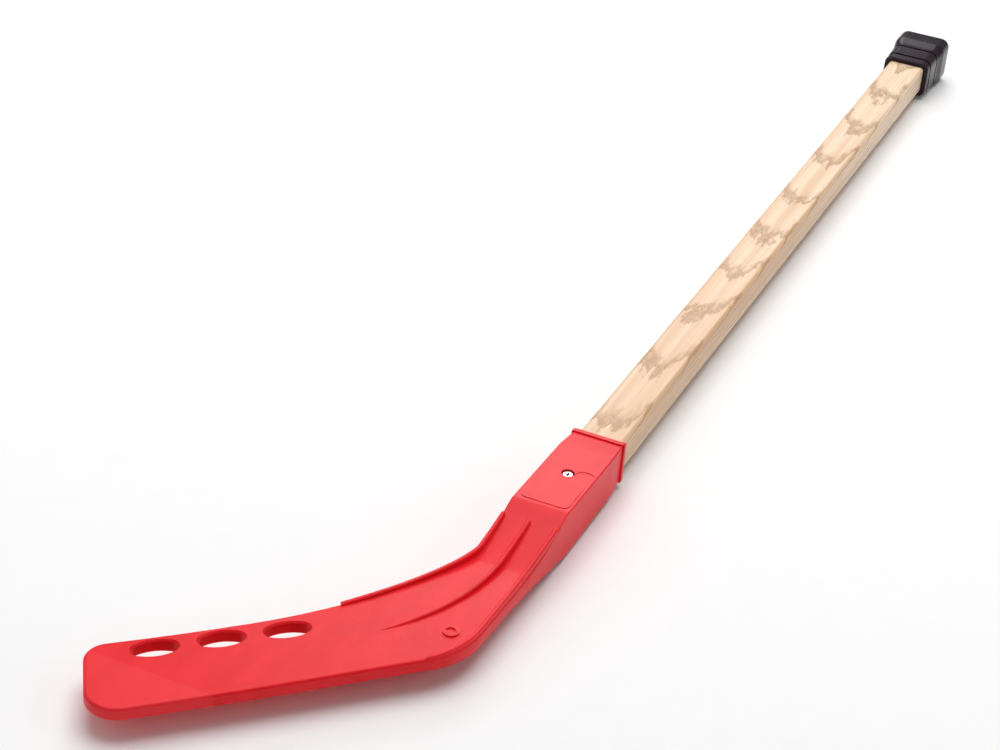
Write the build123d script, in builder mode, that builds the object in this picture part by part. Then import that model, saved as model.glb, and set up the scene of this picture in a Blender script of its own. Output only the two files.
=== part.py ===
from build123d import *
from math import asin, atan2, cos, degrees, radians, sin
import os

# Floor hockey stick: an ash shaft, a moulded plastic blade whose socket takes the
# foot of the shaft, one cross-head screw through the socket, and a rubber butt cap.
#
# Frame, in millimetres: the origin is the centre of the butt end face.  +X runs
# along the shaft out of that face, the blade turns towards +Y, and +Z is the
# normal of one blade face.  The blade is a mirror image of itself about Z = 0.

# ---- shaft ----
shaft_width = 27.2
shaft_thickness = 20.0
shaft_corner = 2.6
shaft_showing = 629.0
shaft_in_socket = 80.0
shaft_in_cap = 47.5
foot_chamfer = 0.8

# ---- butt cap ----
cap_end_wall = 6.0
cap_sleeve_length = 28.5
cap_wall_at_mouth = 3.8
cap_wall_at_neck = 4.8
cap_neck_corner = 6.0
cap_mouth_break = 0.7
groove_depth = 1.3
groove_width = 2.6
first_groove = 6.2
second_groove = 22.8
cap_head_width = 39.6
cap_head_thickness = 33.2
cap_head_corner = 6.8
cap_shoulder_length = 8.0
cap_shoulder_round = 8.0
cap_end_round = 2.4

# ---- blade socket ----
socket_clearance = 0.1
socket_width = 32.6
socket_thickness_at_flare = 26.6
socket_thickness_at_step = 29.2
socket_length = 84.0
socket_edge_round = 0.7
mouth_wall = 1.5
flare_length = 17.0
flare_blend = 60.0
lip_length = 3.4
lip_height = 1.1
lip_corner = 1.2
lip_round = 0.8
floor_wall = 4.0

# ---- label panel and moulding marks on the socket faces ----
panel_from_mouth = 55.4
panel_length = 27.0
panel_width = 28.0
panel_corner = 3.6
panel_height = 0.35
gate_mark_diameter = 12.0
gate_mark_depth = 0.35
gate_mark_from_mouth = 47.6
gate_mark_offset = 9.6

# ---- screw ----
screw_from_mouth = 47.5
screw_head_diameter = 6.8
screw_head_height = 2.2
screw_head_break = 0.8
screw_shank_diameter = 3.9
screw_length = 18.0
screw_tip_length = 4.0
screw_recess_diameter = 7.6
screw_recess_depth = 2.6
screw_hole_clearance = 0.3
recess_cross_width = 1.1
recess_cross_span = 3.8
recess_cross_depth = 1.3

# ---- blade plate, laid out from the heel point where heel and floor lines meet ----
lie_angle = 45.0
heel_from_mouth = 209.1
heel_side = 15.6
blade_thickness = 7.6
blade_edge_round = 1.8
blade_height = 51.6
toe_floor_corner = 16.0
toe_top_corner = 13.0
rocker_start = 88.0
rocker_radius = 2300.0
rocker_turn = 2.59
waist_from_heel = 97.0
top_edge_radius = 1150.0
top_turn = 4.18
heel_radius = 50.0
heel_start = 21.6
heel_turn = 43.8
heel_reach = 60.0
throat_reach = 28.0

# ---- neck between socket and plate ----
throat_radius = 330.0
throat_turn = 20.0
throat_close_radius = 110.0
throat_close_turn = 9.0
throat_end_radius = 20.0
throat_end_turn = 16.0
step_round = 16.0
step_turn = 21.0
neck_sink = 0.3
neck_length = 185.0
neck_throat_swell = 0.5
neck_heel_taper = 3.4
neck_taper_from_mouth = 135.0

# ---- ribs standing on the neck ----
rib_width = 2.4
rib_edge_break = 0.6
rib_start = 98.5
heel_rib_inset = 0.7
rim_proud = 0.15
rim_stop = 49.0
rib_drop_at_step = 1.9
rib_throat_from_mouth = 131.0
rib_rise_at_throat = 4.3
rib_blade_from_mouth = 165.0
rib_rise_at_blade = 2.3
rib_rise_at_fade = 1.3
rib_fade_length = 20.0
rib_fade_from_mouth = 229.0
rib_tip_width = 1.7
middle_rib_offset = 0.9
middle_rib_bend = 130.0
middle_rib_radius = 135.0
middle_rib_turn = 39.5
middle_rib_fade = 218.0

# ---- lightening slots and heel boss ----
slot_count = 3
slot_length = 23.6
slot_height = 11.8
slot_pitch = 33.4
first_slot_from_heel = 81.0
slot_below_edge = 10.3
slot_tilt = 2.0
slot_end_radius = 4.2
slot_edge_break = 0.9
boss_from_heel = 2.6
boss_above_floor = 18.5
boss_diameter = 8.8
boss_height = 0.9
boss_dish_diameter = 5.4
boss_dish_depth = 0.8

os.makedirs("parts", exist_ok=True)

# ---- places along the stick that follow from the sizes above ----
cap_length = shaft_in_cap + cap_end_wall
mouth_x = -(cap_length + shaft_showing)
shaft_length = shaft_showing + shaft_in_socket + shaft_in_cap
half_blade = blade_thickness / 2
half_step = socket_thickness_at_step / 2
half_flare = socket_thickness_at_flare / 2
half_mouth_y = shaft_width / 2 + socket_clearance + mouth_wall
half_mouth_z = shaft_thickness / 2 + socket_clearance + mouth_wall
heel_x = mouth_x - heel_from_mouth


# Level plane at the heel point, x towards the toe along the floor line, y up the blade.
# Its normal points to -Z, so that x, y and the normal stay right-handed.
blade_plane = Plane(
    origin=(heel_x, -heel_side, 0),
    x_dir=(-cos(radians(lie_angle)), sin(radians(lie_angle)), 0),
    z_dir=(0, 0, -1),
)
side_plane = Plane(origin=(mouth_x, 0, 0), x_dir=(1, 0, 0), z_dir=(0, -1, 0))
top_plane = Plane(origin=(mouth_x, 0, 0))


# ---- shaft: a planed ash stick with a pilot hole for the screw ----
screw_seat = half_flare - screw_recess_depth
screw_seat_plane = Plane(origin=(mouth_x - screw_from_mouth, 0, screw_seat))

with BuildPart() as shaft:
    with BuildSketch(Plane.YZ.offset(mouth_x - shaft_in_socket)):
        RectangleRounded(shaft_width, shaft_thickness, shaft_corner)
    extrude(amount=shaft_length)
    chamfer(shaft.edges().group_by(Axis.X)[0], foot_chamfer)
    pilot_depth = screw_length - (screw_seat - shaft_thickness / 2)
    with BuildSketch(Plane(origin=(mouth_x - screw_from_mouth, 0, shaft_thickness / 2))):
        Circle(screw_shank_diameter / 2)
    extrude(amount=-pilot_depth, mode=Mode.SUBTRACT)
shaft.part.label = "shaft"
export_step(shaft.part, "parts/shaft.step")


# ---- screw: flat-bottomed head with a cross recess, plain shank and point ----
with BuildPart() as blade_screw:
    with BuildSketch(Plane(origin=(mouth_x - screw_from_mouth, 0, screw_seat))):
        Circle(screw_head_diameter / 2)
    extrude(amount=screw_head_height)
    chamfer(blade_screw.edges().group_by(Axis.Z)[-1], screw_head_break)
    with BuildSketch(Plane(origin=(mouth_x - screw_from_mouth, 0, screw_seat))):
        Circle(screw_shank_diameter / 2)
    extrude(amount=-(screw_length - screw_tip_length))
    tip_plane = Plane(
        origin=(mouth_x - screw_from_mouth, 0, screw_seat - screw_length + screw_tip_length),
        z_dir=(0, 0, -1),
    )
    with BuildSketch(tip_plane):
        Circle(screw_shank_diameter / 2)
    with BuildSketch(tip_plane.offset(screw_tip_length)):
        Circle(screw_shank_diameter / 8)
    loft()
    with BuildSketch(Plane(origin=(mouth_x - screw_from_mouth, 0, screw_seat + screw_head_height))):
        Rectangle(recess_cross_span, recess_cross_width)
        Rectangle(recess_cross_width, recess_cross_span)
    extrude(amount=-recess_cross_depth, mode=Mode.SUBTRACT)
blade_screw.part.label = "blade_screw"
export_step(blade_screw.part, "parts/blade_screw.step")


# ---- butt cap: a rubber sleeve with two grooves, swelling into a square head ----
def cap_section(distance, half_width, half_thickness, corner):
    """Rounded section across the cap at a distance from its mouth."""
    with BuildSketch(Plane.YZ.offset(distance - cap_length)) as section:
        RectangleRounded(2 * half_width, 2 * half_thickness, corner)
    return section.sketch


def sleeve_section(distance, sunk=0):
    """Section of the tapered sleeve, taken in by an amount where a groove runs."""
    share = distance / cap_sleeve_length
    wall = cap_wall_at_mouth + share * (cap_wall_at_neck - cap_wall_at_mouth) - sunk
    half_width = shaft_width / 2 + wall
    half_thickness = shaft_thickness / 2 + wall
    return cap_section(distance, half_width, half_thickness, cap_neck_corner - sunk)


sleeve_taper = degrees(atan2(cap_wall_at_neck - cap_wall_at_mouth, cap_sleeve_length))

with BuildPart() as butt_cap:
    head_start = cap_sleeve_length + cap_shoulder_length
    head = cap_section(head_start, cap_head_width / 2, cap_head_thickness / 2, cap_head_corner)
    extrude(sleeve_section(0), amount=cap_sleeve_length, dir=(1, 0, 0), taper=-sleeve_taper)
    loft(sections=[sleeve_section(cap_sleeve_length), head])
    extrude(head, amount=cap_length - head_start, dir=(1, 0, 0))
    across = butt_cap.edges().filter_by_position(
        Axis.X, head_start - cap_length - 0.1, head_start - cap_length + 0.1
    )
    fillet(across, cap_shoulder_round)
    chamfer(butt_cap.edges().group_by(Axis.X)[0], cap_mouth_break)
    fillet(butt_cap.edges().group_by(Axis.X)[-1], cap_end_round)
    for groove_start in (first_groove, second_groove):
        outside = cap_section(groove_start, cap_head_width, cap_head_thickness, cap_head_corner)
        inside = sleeve_section(groove_start, groove_depth)
        extrude(outside - inside, amount=groove_width, dir=(1, 0, 0), mode=Mode.SUBTRACT)
    with BuildSketch(Plane.YZ.offset(-cap_length)):
        RectangleRounded(shaft_width, shaft_thickness, shaft_corner)
    extrude(amount=shaft_in_cap, mode=Mode.SUBTRACT)
butt_cap.part.label = "butt_cap"
export_step(butt_cap.part, "parts/butt_cap.step")


# ---- blade, piece by piece: plate, then socket and neck, then ribs ----
# Oval of four arcs that run into each other, tight at the ends and slack at the sides.
end_reach = slot_length / 2 - slot_end_radius
side_sag = slot_height / 2 - slot_end_radius
side_radius = slot_end_radius + (end_reach**2 + side_sag**2) / (2 * side_sag)
side_turn = degrees(2 * asin(end_reach / (side_radius - slot_end_radius)))

with BuildSketch() as slot_outline:
    with BuildLine():
        end_arc = JernArc((slot_length / 2, 0), (0, 1), slot_end_radius, 90 - side_turn / 2)
        side_arc = JernArc(end_arc @ 1, end_arc % 1, side_radius, side_turn)
        end_arc = JernArc(side_arc @ 1, side_arc % 1, slot_end_radius, 180 - side_turn)
        side_arc = JernArc(end_arc @ 1, end_arc % 1, side_radius, side_turn)
        JernArc(side_arc @ 1, side_arc % 1, slot_end_radius, 90 - side_turn / 2)
    make_face()

with BuildPart() as plate:
    # Floor edge with its rocker, leaning toe and hollow top edge, then the throat and
    # the heel run into the neck.
    with BuildSketch(blade_plane) as plate_outline:
        with BuildLine():
            floor_line = Line((heel_start, 0), (rocker_start, 0))
            rocker = JernArc(floor_line @ 1, (1, 0), rocker_radius, rocker_turn)
            top_edge = JernArc((waist_from_heel, blade_height), (1, 0), top_edge_radius, top_turn)
            Line(rocker @ 1, top_edge @ 1)
            throat = JernArc(top_edge @ 0, (-1, 0), throat_radius, -throat_turn)
            close_turn = JernArc(throat @ 1, throat % 1, throat_close_radius, -throat_close_turn)
            end_turn = JernArc(close_turn @ 1, close_turn % 1, throat_end_radius, -throat_end_turn)
            throat_line = Line(end_turn @ 1, end_turn @ 1 + (end_turn % 1) * throat_reach)
            heel = JernArc(floor_line @ 0, (-1, 0), heel_radius, -heel_turn)
            heel_line = Line(heel @ 1, heel @ 1 + (heel % 1) * heel_reach)
            Line(throat_line @ 1, heel_line @ 1)
        make_face()
        fillet(plate_outline.vertices().sort_by(Axis.X)[-2], toe_top_corner)
        fillet(plate_outline.vertices().sort_by(Axis.X)[-1], toe_floor_corner)
    extrude(amount=half_blade, both=True)
    fillet(plate.edges().group_by(Axis.Z)[0] + plate.edges().group_by(Axis.Z)[-1], blade_edge_round)
    # Row of lightening slots below the top edge, with broken rims.
    slot_row = blade_plane * Pos(first_slot_from_heel, blade_height - slot_below_edge)
    with BuildSketch(slot_row * Rot(0, 0, slot_tilt)):
        with Locations([(number * slot_pitch, 0) for number in range(slot_count)]):
            add(slot_outline.sketch)
    extrude(amount=blade_thickness, both=True, mode=Mode.SUBTRACT)
    blade_faces = plate.faces().filter_by(Axis.Z).sort_by(Axis.Z)
    for face in (blade_faces[0], blade_faces[-1]):
        for rim in face.inner_wires():
            chamfer(rim.edges(), slot_edge_break)

# Socket and neck: their outline seen from above, cut by their outline seen from the
# side, which falls from the step in one hollow sweep onto the blade faces.
step_lean = atan2(half_step - half_flare, socket_length - lip_length - flare_length)
step_drop = step_round * (cos(step_lean) - cos(radians(step_turn)))
sweep_radius = (half_step - step_drop - half_blade + neck_sink) / (1 - cos(radians(step_turn)))
half_width = socket_width / 2
flare_end = -(lip_length + flare_length)

with BuildPart() as socket_body:
    with BuildSketch(top_plane) as socket_plan:
        Polygon(
            (-lip_length / 2, half_mouth_y),
            (flare_end, half_width),
            (-rib_start, half_width + neck_throat_swell),
            (-neck_length, half_width + neck_throat_swell),
            (-neck_length, -half_width + neck_heel_taper),
            (-neck_taper_from_mouth, -half_width),
            (flare_end, -half_width),
            (-lip_length / 2, -half_mouth_y),
            align=None,
        )
        flare_corners = socket_plan.vertices().group_by(Axis.X)[-2]
        fillet(flare_corners, flare_blend)
    extrude(amount=half_step, both=True)
    with BuildSketch(side_plane) as socket_side:
        with BuildLine():
            flare = Line((-lip_length / 2, half_mouth_z), (flare_end, half_flare))
            face = Line(flare @ 1, (-socket_length, half_step))
            step = JernArc(face @ 1, face % 1, step_round, step_turn + degrees(step_lean))
            sweep_down = JernArc(step @ 1, step % 1, sweep_radius, -step_turn)
            sunk = Line(sweep_down @ 1, (-neck_length, (sweep_down @ 1).Y))
            Polyline(sunk @ 1, (-neck_length, 0), (-lip_length / 2, 0), flare @ 0)
        make_face()
        mirror(about=Plane.XZ)
        flare_corners = socket_side.vertices().filter_by_position(Axis.X, flare_end - 0.1, flare_end + 0.1)
        fillet(flare_corners, flare_blend)
    extrude(amount=socket_width, both=True, mode=Mode.INTERSECT)

# Ribs: a rim along the throat, a rib along the heel, and between them a middle rib that
# bends after the throat, narrows and sinks into the blade.
def crest_outline(fade_from_mouth):
    """Side outline of a rib's crest, alike above and below, sinking into the blade."""
    with BuildSketch(side_plane) as outline:
        with BuildLine():
            crest = Spline(
                (-rib_start, half_step - rib_drop_at_step),
                (-rib_throat_from_mouth, half_blade + rib_rise_at_throat),
                (-rib_blade_from_mouth, half_blade + rib_rise_at_blade),
                (-fade_from_mouth + rib_fade_length, half_blade + rib_rise_at_fade),
                (-fade_from_mouth, half_blade - neck_sink),
            )
            Polyline(crest @ 1, (-fade_from_mouth, 0), (-rib_start, 0), crest @ 0)
        make_face()
        mirror(about=Plane.XZ)
    return outline.sketch


rim_inset = rib_width / 2 - rim_proud
heel_inset = rib_width / 2 + heel_rib_inset
rim_angle = asin((waist_from_heel - rim_stop) / throat_radius)

with BuildPart() as edge_ribs:
    with BuildSketch(blade_plane):
        with BuildLine():
            rim_start = (
                waist_from_heel - (throat_radius + rim_inset) * sin(rim_angle),
                blade_height + throat_radius - (throat_radius + rim_inset) * cos(rim_angle),
            )
            rim = JernArc(
                rim_start,
                (-cos(rim_angle), sin(rim_angle)),
                throat_radius + rim_inset,
                degrees(rim_angle) - throat_turn,
            )
            rim = JernArc(rim @ 1, rim % 1, throat_close_radius + rim_inset, -throat_close_turn)
            rim = JernArc(rim @ 1, rim % 1, throat_end_radius + rim_inset, -throat_end_turn)
            Line(rim @ 1, rim @ 1 + (rim % 1) * throat_reach)
        trace(line_width=rib_width)
    with BuildSketch(blade_plane):
        with BuildLine():
            foot = JernArc((heel_start, heel_inset), (-1, 0), heel_radius - heel_inset, -heel_turn)
            Line(foot @ 1, foot @ 1 + (foot % 1) * (heel_reach + socket_length))
        trace(line_width=rib_width)
    extrude(amount=half_step, both=True)
    extrude(crest_outline(rib_fade_from_mouth), amount=heel_from_mouth, both=True, mode=Mode.INTERSECT)
    tops = edge_ribs.edges().filter_by(lambda edge: abs(edge.center().Z) > half_blade)
    chamfer(tops.filter_by(lambda edge: edge.bounding_box().size.X > rib_width), rib_edge_break)

middle_angle = radians(middle_rib_turn)
with BuildPart() as middle_rib:
    with BuildSketch(top_plane):
        with BuildLine():
            tip = (
                -middle_rib_bend - middle_rib_radius * sin(middle_angle),
                middle_rib_offset + middle_rib_radius * (1 - cos(middle_angle)),
            )
            tip_side = (sin(middle_angle) * rib_tip_width / 2, cos(middle_angle) * rib_tip_width / 2)
            near = Line(
                (-socket_length, middle_rib_offset + rib_width / 2),
                (-middle_rib_bend, middle_rib_offset + rib_width / 2),
            )
            far = Line(
                (-socket_length, middle_rib_offset - rib_width / 2),
                (-middle_rib_bend, middle_rib_offset - rib_width / 2),
            )
            near_side = TangentArc(near @ 1, (tip[0] + tip_side[0], tip[1] + tip_side[1]), tangent=(-1, 0))
            far_side = TangentArc(far @ 1, (tip[0] - tip_side[0], tip[1] - tip_side[1]), tangent=(-1, 0))
            Line(near_side @ 1, far_side @ 1)
            Line(near @ 0, far @ 0)
        make_face()
    extrude(amount=half_step, both=True)
    extrude(crest_outline(middle_rib_fade), amount=heel_from_mouth, both=True, mode=Mode.INTERSECT)
    tops = middle_rib.edges().filter_by(lambda edge: abs(edge.center().Z) > half_blade)
    chamfer(tops.filter_by(lambda edge: edge.bounding_box().size.X > rib_width), rib_edge_break)

with BuildPart() as blade:
    add(socket_body.part)
    ridges = blade.edges().filter_by_position(Axis.X, mouth_x - socket_length, mouth_x)
    ridges = ridges.filter_by(lambda edge: edge.bounding_box().size.X > socket_edge_round)
    fillet(ridges.filter_by(lambda edge: abs(edge.center().Y) > shaft_width / 2), socket_edge_round)
    # Raised lip round the mouth.
    with BuildSketch(Plane.YZ.offset(mouth_x)):
        RectangleRounded(2 * (half_mouth_y + lip_height), 2 * (half_mouth_z + lip_height), lip_corner)
    extrude(amount=-lip_length)
    fillet(blade.edges().group_by(Axis.X)[-1], lip_round)
    add(plate.part)
    add(edge_ribs.part)
    add(middle_rib.part)
    # Raised panel on both broad faces, laid along their slope.
    for side in (1, -1):
        broad_face = Plane(
            origin=(mouth_x - socket_length, 0, side * half_step),
            x_dir=(cos(step_lean), 0, -side * sin(step_lean)),
            z_dir=(sin(step_lean), 0, side * cos(step_lean)),
        )
        panel_place = Pos(socket_length - panel_from_mouth - panel_length / 2, 0)
        with BuildSketch(broad_face * panel_place):
            RectangleRounded(panel_length, panel_width, panel_corner)
        extrude(amount=panel_height, both=True)
        if side == 1:
            gate_place = Pos(socket_length - gate_mark_from_mouth, -gate_mark_offset)
            with BuildSketch(broad_face * gate_place):
                Circle(gate_mark_diameter / 2)
            extrude(amount=-gate_mark_depth, mode=Mode.SUBTRACT)
    # Pocket for the shaft, and the stepped hole for the screw in the upper wall.
    with BuildSketch(Plane.YZ.offset(mouth_x)):
        RectangleRounded(
            shaft_width + 2 * socket_clearance,
            shaft_thickness + 2 * socket_clearance,
            shaft_corner,
        )
    extrude(amount=-shaft_in_socket, mode=Mode.SUBTRACT)
    with BuildSketch(screw_seat_plane):
        Circle(screw_recess_diameter / 2)
    extrude(amount=half_step, mode=Mode.SUBTRACT)
    with BuildSketch(screw_seat_plane):
        Circle(screw_shank_diameter / 2 + screw_hole_clearance)
    extrude(amount=-screw_seat, mode=Mode.SUBTRACT)
    # Ring boss at the heel with a dished centre, the same on both faces.
    for face_plane in (blade_plane.offset(-half_blade), blade_plane.offset(half_blade)):
        outward = 1 if face_plane.origin.Z < 0 else -1
        with BuildSketch(face_plane * Pos(boss_from_heel, boss_above_floor)):
            Circle(boss_diameter / 2)
        extrude(amount=outward * boss_height)
        with BuildSketch(face_plane * Pos(boss_from_heel, boss_above_floor, outward * boss_height)):
            Circle(boss_dish_diameter / 2)
        extrude(amount=-outward * boss_dish_depth, mode=Mode.SUBTRACT)
blade.part.label = "blade"
export_step(blade.part, "parts/blade.step")
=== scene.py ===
"""Looks of a street hockey stick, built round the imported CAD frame. Metres, row frame."""

import bpy
from mathutils import Matrix, Vector


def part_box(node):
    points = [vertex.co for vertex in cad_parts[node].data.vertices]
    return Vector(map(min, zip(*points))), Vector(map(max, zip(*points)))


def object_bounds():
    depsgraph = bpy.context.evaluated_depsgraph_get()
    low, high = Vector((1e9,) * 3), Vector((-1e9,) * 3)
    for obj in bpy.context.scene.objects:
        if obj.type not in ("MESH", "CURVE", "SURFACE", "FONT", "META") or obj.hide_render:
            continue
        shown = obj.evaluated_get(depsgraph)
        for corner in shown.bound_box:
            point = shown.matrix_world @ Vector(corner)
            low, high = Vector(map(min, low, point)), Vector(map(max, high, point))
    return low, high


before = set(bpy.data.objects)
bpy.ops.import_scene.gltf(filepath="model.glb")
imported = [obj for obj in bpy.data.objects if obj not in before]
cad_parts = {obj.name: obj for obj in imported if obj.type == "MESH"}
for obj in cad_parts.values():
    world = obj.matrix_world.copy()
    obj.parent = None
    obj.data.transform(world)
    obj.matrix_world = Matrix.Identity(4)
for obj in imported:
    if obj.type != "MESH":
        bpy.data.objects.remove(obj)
cad_low, cad_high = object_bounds()

MM = 0.001

toe_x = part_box("blade")[0].x
mouth_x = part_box("blade")[1].x
screw_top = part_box("blade_screw")[1].z
cap_mouth_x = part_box("butt_cap")[0].x

# ---- node helpers ----


def new_material(name):
    material = bpy.data.materials.new(name)
    material.use_nodes = True
    tree = material.node_tree
    tree.nodes.clear()
    output = tree.nodes.new("ShaderNodeOutputMaterial")
    shader = tree.nodes.new("ShaderNodeBsdfPrincipled")
    tree.links.new(shader.outputs[0], output.inputs[0])
    return material, tree, shader


def put(tree, socket, value):
    """Links an output socket, or sets a plain value."""
    if isinstance(value, bpy.types.NodeSocket):
        tree.links.new(value, socket)
    else:
        socket.default_value = value


def position(tree):
    return tree.nodes.new("ShaderNodeTexCoord").outputs["Object"]


def stretched(tree, vector, scale, turn=(0, 0, 0)):
    node = tree.nodes.new("ShaderNodeMapping")
    put(tree, node.inputs["Vector"], vector)
    node.inputs["Scale"].default_value = scale
    node.inputs["Rotation"].default_value = turn
    return node.outputs[0]


def noise(tree, vector, scale, detail=2.0, roughness=0.5):
    node = tree.nodes.new("ShaderNodeTexNoise")
    put(tree, node.inputs["Vector"], vector)
    node.inputs["Scale"].default_value = scale
    node.inputs["Detail"].default_value = detail
    node.inputs["Roughness"].default_value = roughness
    return node.outputs["Fac"]


def calc(tree, operation, a, b=0.0, c=0.0):
    node = tree.nodes.new("ShaderNodeMath")
    node.operation = operation
    for socket, value in zip(node.inputs, (a, b, c)):
        put(tree, socket, value)
    return node.outputs[0]


def remap(tree, value, start, end):
    """Goes smoothly from 0 to 1 as value goes from start to end."""
    node = tree.nodes.new("ShaderNodeMapRange")
    node.interpolation_type = "SMOOTHSTEP"
    put(tree, node.inputs["Value"], value)
    node.inputs["From Min"].default_value = start
    node.inputs["From Max"].default_value = end
    return node.outputs[0]


MIX_FACTOR, MIX_COLOUR_A, MIX_COLOUR_B, MIX_COLOUR_OUT = 0, 6, 7, 2


def blend_colour(tree, share, a, b):
    """Goes from colour a to colour b as share goes from 0 to 1."""
    node = tree.nodes.new("ShaderNodeMix")
    node.data_type = "RGBA"
    put(tree, node.inputs[MIX_FACTOR], share)
    for index, value in ((MIX_COLOUR_A, a), (MIX_COLOUR_B, b)):
        colour = value if isinstance(value, bpy.types.NodeSocket) else (*value, 1.0)
        put(tree, node.inputs[index], colour)
    return node.outputs[MIX_COLOUR_OUT]


def bump(tree, height, distance, strength):
    node = tree.nodes.new("ShaderNodeBump")
    put(tree, node.inputs["Height"], height)
    node.inputs["Distance"].default_value = distance
    node.inputs["Strength"].default_value = strength
    return node.outputs[0]


def edge_mask(tree, radius):
    """1 on sharp edges, 0 on flat faces."""
    rounded = tree.nodes.new("ShaderNodeBevel")
    rounded.inputs["Radius"].default_value = radius
    rounded.samples = 4
    true_normal = tree.nodes.new("ShaderNodeNewGeometry").outputs["Normal"]
    dot = tree.nodes.new("ShaderNodeVectorMath")
    dot.operation = "DOT_PRODUCT"
    put(tree, dot.inputs[0], rounded.outputs[0])
    put(tree, dot.inputs[1], true_normal)
    return remap(tree, dot.outputs["Value"], 0.99, 0.85)


def axes(tree, vector):
    node = tree.nodes.new("ShaderNodeSeparateXYZ")
    put(tree, node.inputs[0], vector)
    return node.outputs


# ---- materials ----

TOE_SEAM = toe_x + 34.0 * MM
SEAM_SOFTNESS = 0.4 * MM
SOCKET_END = mouth_x - 90.0 * MM
SOCKET_FADE = 30.0 * MM


def red_plastic():
    """Moulded red plastic: lightly pebbled, smoother on the socket, paler past the toe's seam."""
    material, tree, shader = new_material("red_plastic_moulded")
    place = position(tree)
    x = axes(tree, place)[0]
    on_socket = remap(tree, x, SOCKET_END - SOCKET_FADE, SOCKET_END)
    on_toe = remap(tree, x, TOE_SEAM + SEAM_SOFTNESS, TOE_SEAM - SEAM_SOFTNESS)
    pebble = noise(tree, place, 1050.0, 3.0, 0.55)
    orange_peel = noise(tree, place, 340.0, 1.0)
    flow = noise(tree, stretched(tree, place, (26.0, 70.0, 40.0), (0, 0, 0.5)), 1.0, 3.0)
    scuff = noise(tree, stretched(tree, place, (60.0, 900.0, 900.0), (0, 0, -0.35)), 1.0, 2.0, 0.6)
    scuffed = remap(tree, scuff, 0.66, 0.78)
    edge_wear_and_highlight = edge_mask(tree, 0.9 * MM)
    mottle = remap(tree, flow, 0.3, 0.7)
    colour = blend_colour(tree, mottle, (0.80, 0.004, 0.010), (0.88, 0.008, 0.018))
    colour = blend_colour(tree, calc(tree, "MULTIPLY", on_toe, 0.35), colour, (0.90, 0.045, 0.055))
    colour = blend_colour(tree, calc(tree, "MULTIPLY", scuffed, 0.10), colour, (0.95, 0.16, 0.17))
    # Convex edges painted paler: partly rubbed wear, partly painted highlight along the rounded
    # edges.
    colour = blend_colour(tree, calc(tree, "MULTIPLY", edge_wear_and_highlight, 0.30), colour, (0.96, 0.14, 0.15))
    put(tree, shader.inputs["Base Color"], colour)
    rough = calc(tree, "MULTIPLY_ADD", pebble, 0.16, 0.30)
    rough = calc(tree, "MULTIPLY_ADD", scuffed, 0.10, rough)
    rough = calc(tree, "MULTIPLY_ADD", on_toe, 0.06, rough)
    put(tree, shader.inputs["Roughness"], rough)
    depth = calc(tree, "MULTIPLY_ADD", on_socket, -0.72, 1.0)
    height = calc(tree, "MULTIPLY", pebble, depth)
    height = calc(tree, "MULTIPLY_ADD", orange_peel, 0.35, height)
    put(tree, shader.inputs["Normal"], bump(tree, height, 0.11 * MM, 0.9))
    shader.inputs["IOR"].default_value = 1.49
    shader.inputs["Specular IOR Level"].default_value = 0.22
    shader.inputs["Coat Weight"].default_value = 0.04
    shader.inputs["Coat Roughness"].default_value = 0.22
    shader.inputs["Subsurface Weight"].default_value = 0.04
    shader.inputs["Subsurface Radius"].default_value = (0.004, 0.001, 0.001)
    return material


PITH_BELOW = -31.0 * MM
PITH_TILT = 0.050
RING_WIDTH = 3.4 * MM


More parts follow.
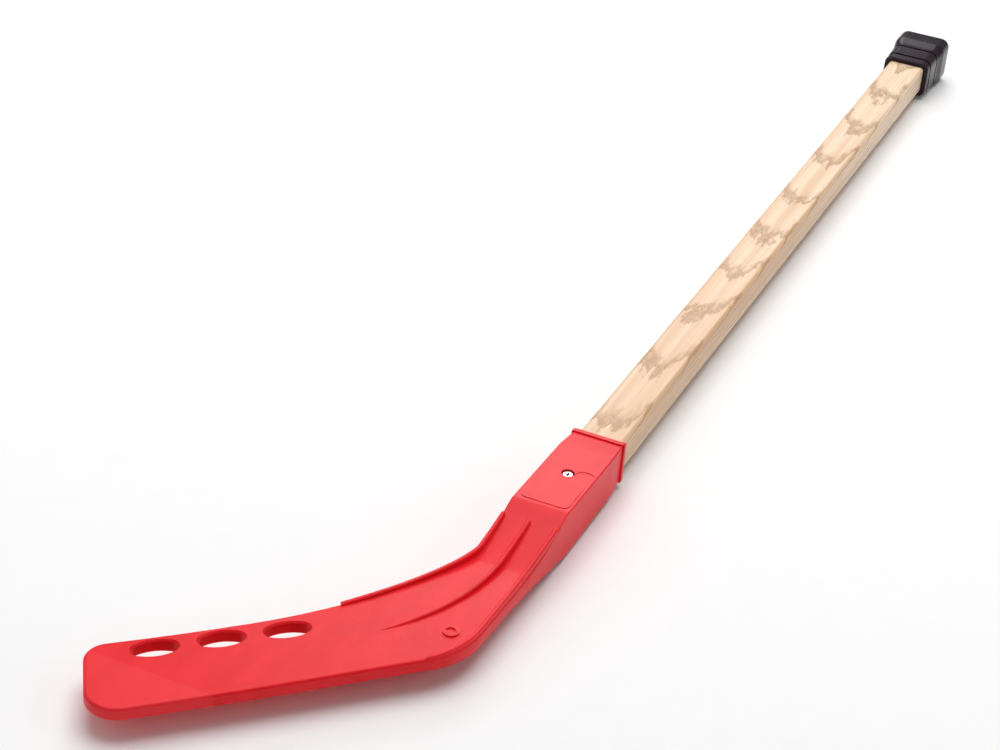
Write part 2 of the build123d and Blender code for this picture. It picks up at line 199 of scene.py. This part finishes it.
def ash_wood():
    """Varnished ash: rings round a tilted pith, porous early wood and fine straight grain."""
    material, tree, shader = new_material("ash_wood_varnished")
    place = position(tree)
    x, y, z = axes(tree, place)
    sway = noise(tree, stretched(tree, place, (5.0, 16.0, 16.0)), 1.0, 2.0)
    sway = calc(tree, "SUBTRACT", sway, 0.5)
    ripple = noise(tree, stretched(tree, place, (48.0, 165.0, 165.0)), 1.0, 3.0, 0.6)
    ripple = calc(tree, "SUBTRACT", ripple, 0.5)
    pith_y = calc(tree, "MULTIPLY_ADD", sway, 22.0 * MM, 2.0 * MM)
    pith_z = calc(tree, "MULTIPLY_ADD", x, PITH_TILT, PITH_BELOW)
    across = calc(tree, "SUBTRACT", y, pith_y)
    up = calc(tree, "SUBTRACT", z, pith_z)
    square = calc(tree, "MULTIPLY", across, across)
    square = calc(tree, "MULTIPLY_ADD", up, up, square)
    reach = calc(tree, "SQRT", square)
    reach = calc(tree, "MULTIPLY_ADD", ripple, 3.4 * MM, reach)
    reach = calc(tree, "MULTIPLY_ADD", sway, 4.0 * MM, reach)
    phase = calc(tree, "FRACT", calc(tree, "DIVIDE", reach, RING_WIDTH))
    rise = remap(tree, phase, 0.58, 0.86)
    fall = remap(tree, phase, 0.99, 0.90)
    band = calc(tree, "MULTIPLY", rise, fall)
    pores = noise(tree, stretched(tree, place, (210.0, 2600.0, 2600.0)), 1.0, 3.0, 0.65)
    pore = remap(tree, pores, 0.46, 0.62)
    grain = noise(tree, stretched(tree, place, (26.0, 1250.0, 1250.0)), 1.0, 4.0, 0.6)
    broad = noise(tree, stretched(tree, place, (3.0, 120.0, 120.0)), 1.0, 2.0)
    toward_cap = remap(tree, x, mouth_x, cap_mouth_x)
    pale = blend_colour(tree, toward_cap, (0.80, 0.535, 0.335), (0.90, 0.70, 0.50))
    tan = blend_colour(tree, toward_cap, (0.70, 0.415, 0.225), (0.80, 0.54, 0.33))
    colour = blend_colour(tree, remap(tree, broad, 0.35, 0.68), pale, tan)
    fine = calc(tree, "MULTIPLY", remap(tree, grain, 0.45, 0.72), 0.34)
    colour = blend_colour(tree, fine, colour, (0.62, 0.35, 0.17))
    strength = calc(tree, "MULTIPLY", band, calc(tree, "MULTIPLY_ADD", pore, 0.50, 0.48))
    colour = blend_colour(tree, strength, colour, (0.42, 0.215, 0.085))
    # Convex edges painted paler: partly rubbed-through varnish, partly painted highlight along the
    # rounded edges.
    edge_wear_and_highlight = edge_mask(tree, 0.8 * MM)
    colour = blend_colour(tree, calc(tree, "MULTIPLY", edge_wear_and_highlight, 0.25), colour, (0.93, 0.74, 0.54))
    put(tree, shader.inputs["Base Color"], colour)
    rough = calc(tree, "MULTIPLY_ADD", grain, 0.18, 0.34)
    rough = calc(tree, "MULTIPLY_ADD", band, 0.07, rough)
    put(tree, shader.inputs["Roughness"], rough)
    pit = calc(tree, "MULTIPLY", calc(tree, "MULTIPLY", band, pore), -0.8)
    height = calc(tree, "MULTIPLY_ADD", grain, 0.5, pit)
    put(tree, shader.inputs["Normal"], bump(tree, height, 0.07 * MM, 0.8))
    shader.inputs["Coat Weight"].default_value = 0.22
    shader.inputs["Coat Roughness"].default_value = 0.24
    return material


def rubber():
    """Black rubber with a faint mould texture, specks of dust and paler edges, partly rubbed wear
    and partly painted highlight.
    """
    material, tree, shader = new_material("rubber_black")
    place = position(tree)
    cloud = noise(tree, place, 75.0, 3.0)
    dust = noise(tree, place, 1700.0, 2.0, 0.6)
    specks = remap(tree, dust, 0.68, 0.76)
    skin = noise(tree, place, 620.0, 2.0)
    edge_wear_and_highlight = edge_mask(tree, 0.8 * MM)
    colour = blend_colour(tree, cloud, (0.014, 0.008, 0.013), (0.030, 0.018, 0.027))
    # Convex edges painted paler grey: partly rubbed wear, partly painted highlight along the
    # rounded edges.
    colour = blend_colour(tree, calc(tree, "MULTIPLY", edge_wear_and_highlight, 0.35), colour, (0.13, 0.11, 0.13))
    colour = blend_colour(tree, calc(tree, "MULTIPLY", specks, 0.25), colour, (0.22, 0.20, 0.21))
    put(tree, shader.inputs["Base Color"], colour)
    put(tree, shader.inputs["Roughness"], calc(tree, "MULTIPLY_ADD", cloud, 0.18, 0.16))
    put(tree, shader.inputs["Normal"], bump(tree, skin, 0.05 * MM, 0.6))
    shader.inputs["IOR"].default_value = 1.54
    shader.inputs["Specular IOR Level"].default_value = 0.13
    return material


RECESS_SHADE_START = 0.05 * MM
RECESS_SHADE_FULL = 0.5 * MM


def steel():
    """Zinc-plated steel with turning marks, and painted shade darkening it down in the recess."""
    material, tree, shader = new_material("steel_zinc_plated")
    place = position(tree)
    z = axes(tree, place)[2]
    plating = noise(tree, place, 900.0, 3.0)
    marks = noise(tree, stretched(tree, place, (5200.0, 700.0, 700.0), (0, 0, 0.6)), 1.0, 2.0)
    # Painted shade: the screw turns dark below its head's top, down into the recess.
    recess_shade = remap(tree, z, screw_top - RECESS_SHADE_START, screw_top - RECESS_SHADE_FULL)
    colour = blend_colour(tree, plating, (0.66, 0.67, 0.70), (0.82, 0.82, 0.83))
    colour = blend_colour(tree, calc(tree, "MULTIPLY", recess_shade, 0.75), colour, (0.10, 0.08, 0.08))
    put(tree, shader.inputs["Base Color"], colour)
    put(tree, shader.inputs["Roughness"], calc(tree, "MULTIPLY_ADD", marks, 0.22, 0.16))
    put(tree, shader.inputs["Normal"], bump(tree, marks, 0.02 * MM, 0.6))
    shader.inputs["Metallic"].default_value = 1.0
    return material


def finish_node(name, material):
    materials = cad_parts[name].data.materials
    materials.clear()
    materials.append(material)


finish_node("blade", red_plastic())
finish_node("shaft", ash_wood())
finish_node("butt_cap", rubber())
finish_node("blade_screw", steel())

# ---- floor, lights and camera ----


FLOOR_HALF = 9.0


def studio_floor():
    mesh = bpy.data.meshes.new("studio_floor")
    turns = ((-1, -1), (1, -1), (1, 1), (-1, 1))
    corners = [(x * FLOOR_HALF, y * FLOOR_HALF, cad_low.z) for x, y in turns]
    mesh.from_pydata(corners, [], [(0, 1, 2, 3)])
    floor = bpy.data.objects.new("studio_floor", mesh)
    bpy.context.scene.collection.objects.link(floor)
    material, tree, shader = new_material("floor_paper")
    paper = noise(tree, position(tree), 60.0, 2.0)
    colour = blend_colour(tree, paper, (0.93, 0.93, 0.93), (0.96, 0.96, 0.96))
    put(tree, shader.inputs["Base Color"], colour)
    shader.inputs["Roughness"].default_value = 0.9
    shader.inputs["Specular IOR Level"].default_value = 0.1
    mesh.materials.append(material)


def soft_light(name, direction, distance, size, power):
    """A square softbox that shines at the middle of the stick."""
    data = bpy.data.lights.new(name, "AREA")
    data.shape = "SQUARE"
    data.size = size
    data.energy = power
    light = bpy.data.objects.new(name, data)
    bpy.context.scene.collection.objects.link(light)
    aim = Vector(direction).normalized()
    light.location = (cad_low + cad_high) / 2 + aim * distance
    light.rotation_mode = "QUATERNION"
    light.rotation_quaternion = aim.to_track_quat("Z", "Y")


def studio_world():
    world = bpy.data.worlds.new("studio_white")
    bpy.context.scene.world = world
    world.use_nodes = True
    background = world.node_tree.nodes["Background"]
    background.inputs["Color"].default_value = (1.0, 1.0, 1.0, 1.0)
    background.inputs["Strength"].default_value = 0.24


# The camera's place from the middle of the socket mouth, and its three axes in the row frame.
CAMERA_FROM_MOUTH = Vector((-1.0891, -0.3692, 0.7305))
CAMERA_RIGHT = Vector((0.41132, -0.90817, 0.07781))
CAMERA_DOWN = Vector((-0.44029, -0.27270, -0.85544))
CAMERA_VIEW = Vector((0.79810, 0.31760, -0.51202))
CAMERA_LENS = 86.2


def photo_camera():
    data = bpy.data.cameras.new("photo_camera")
    data.lens = CAMERA_LENS
    data.sensor_width = 36.0
    data.clip_start = 0.05
    data.clip_end = 60.0
    camera = bpy.data.objects.new("photo_camera", data)
    bpy.context.scene.collection.objects.link(camera)
    axes_in_columns = Matrix((CAMERA_RIGHT, -CAMERA_DOWN, -CAMERA_VIEW)).transposed()
    place = Vector((mouth_x, 0.0, 0.0)) + CAMERA_FROM_MOUTH
    camera.matrix_world = Matrix.Translation(place) @ axes_in_columns.to_4x4()
    bpy.context.scene.camera = camera


studio_floor()
soft_light("back_softbox", (0.80, 0.32, 0.56), 2.6, 0.9, 14.0)
soft_light("top_softbox", (0.15, 0.05, 1.0), 2.4, 2.2, 50.0)
soft_light("left_fill", (-0.10, 1.0, 0.75), 3.0, 1.6, 8.0)
soft_light("side_fill", (0.10, -1.0, 0.5), 3.2, 1.8, 9.0)
studio_world()
photo_camera()
bpy.context.scene.view_settings.view_transform = "Standard"

bpy.context.view_layer.update()
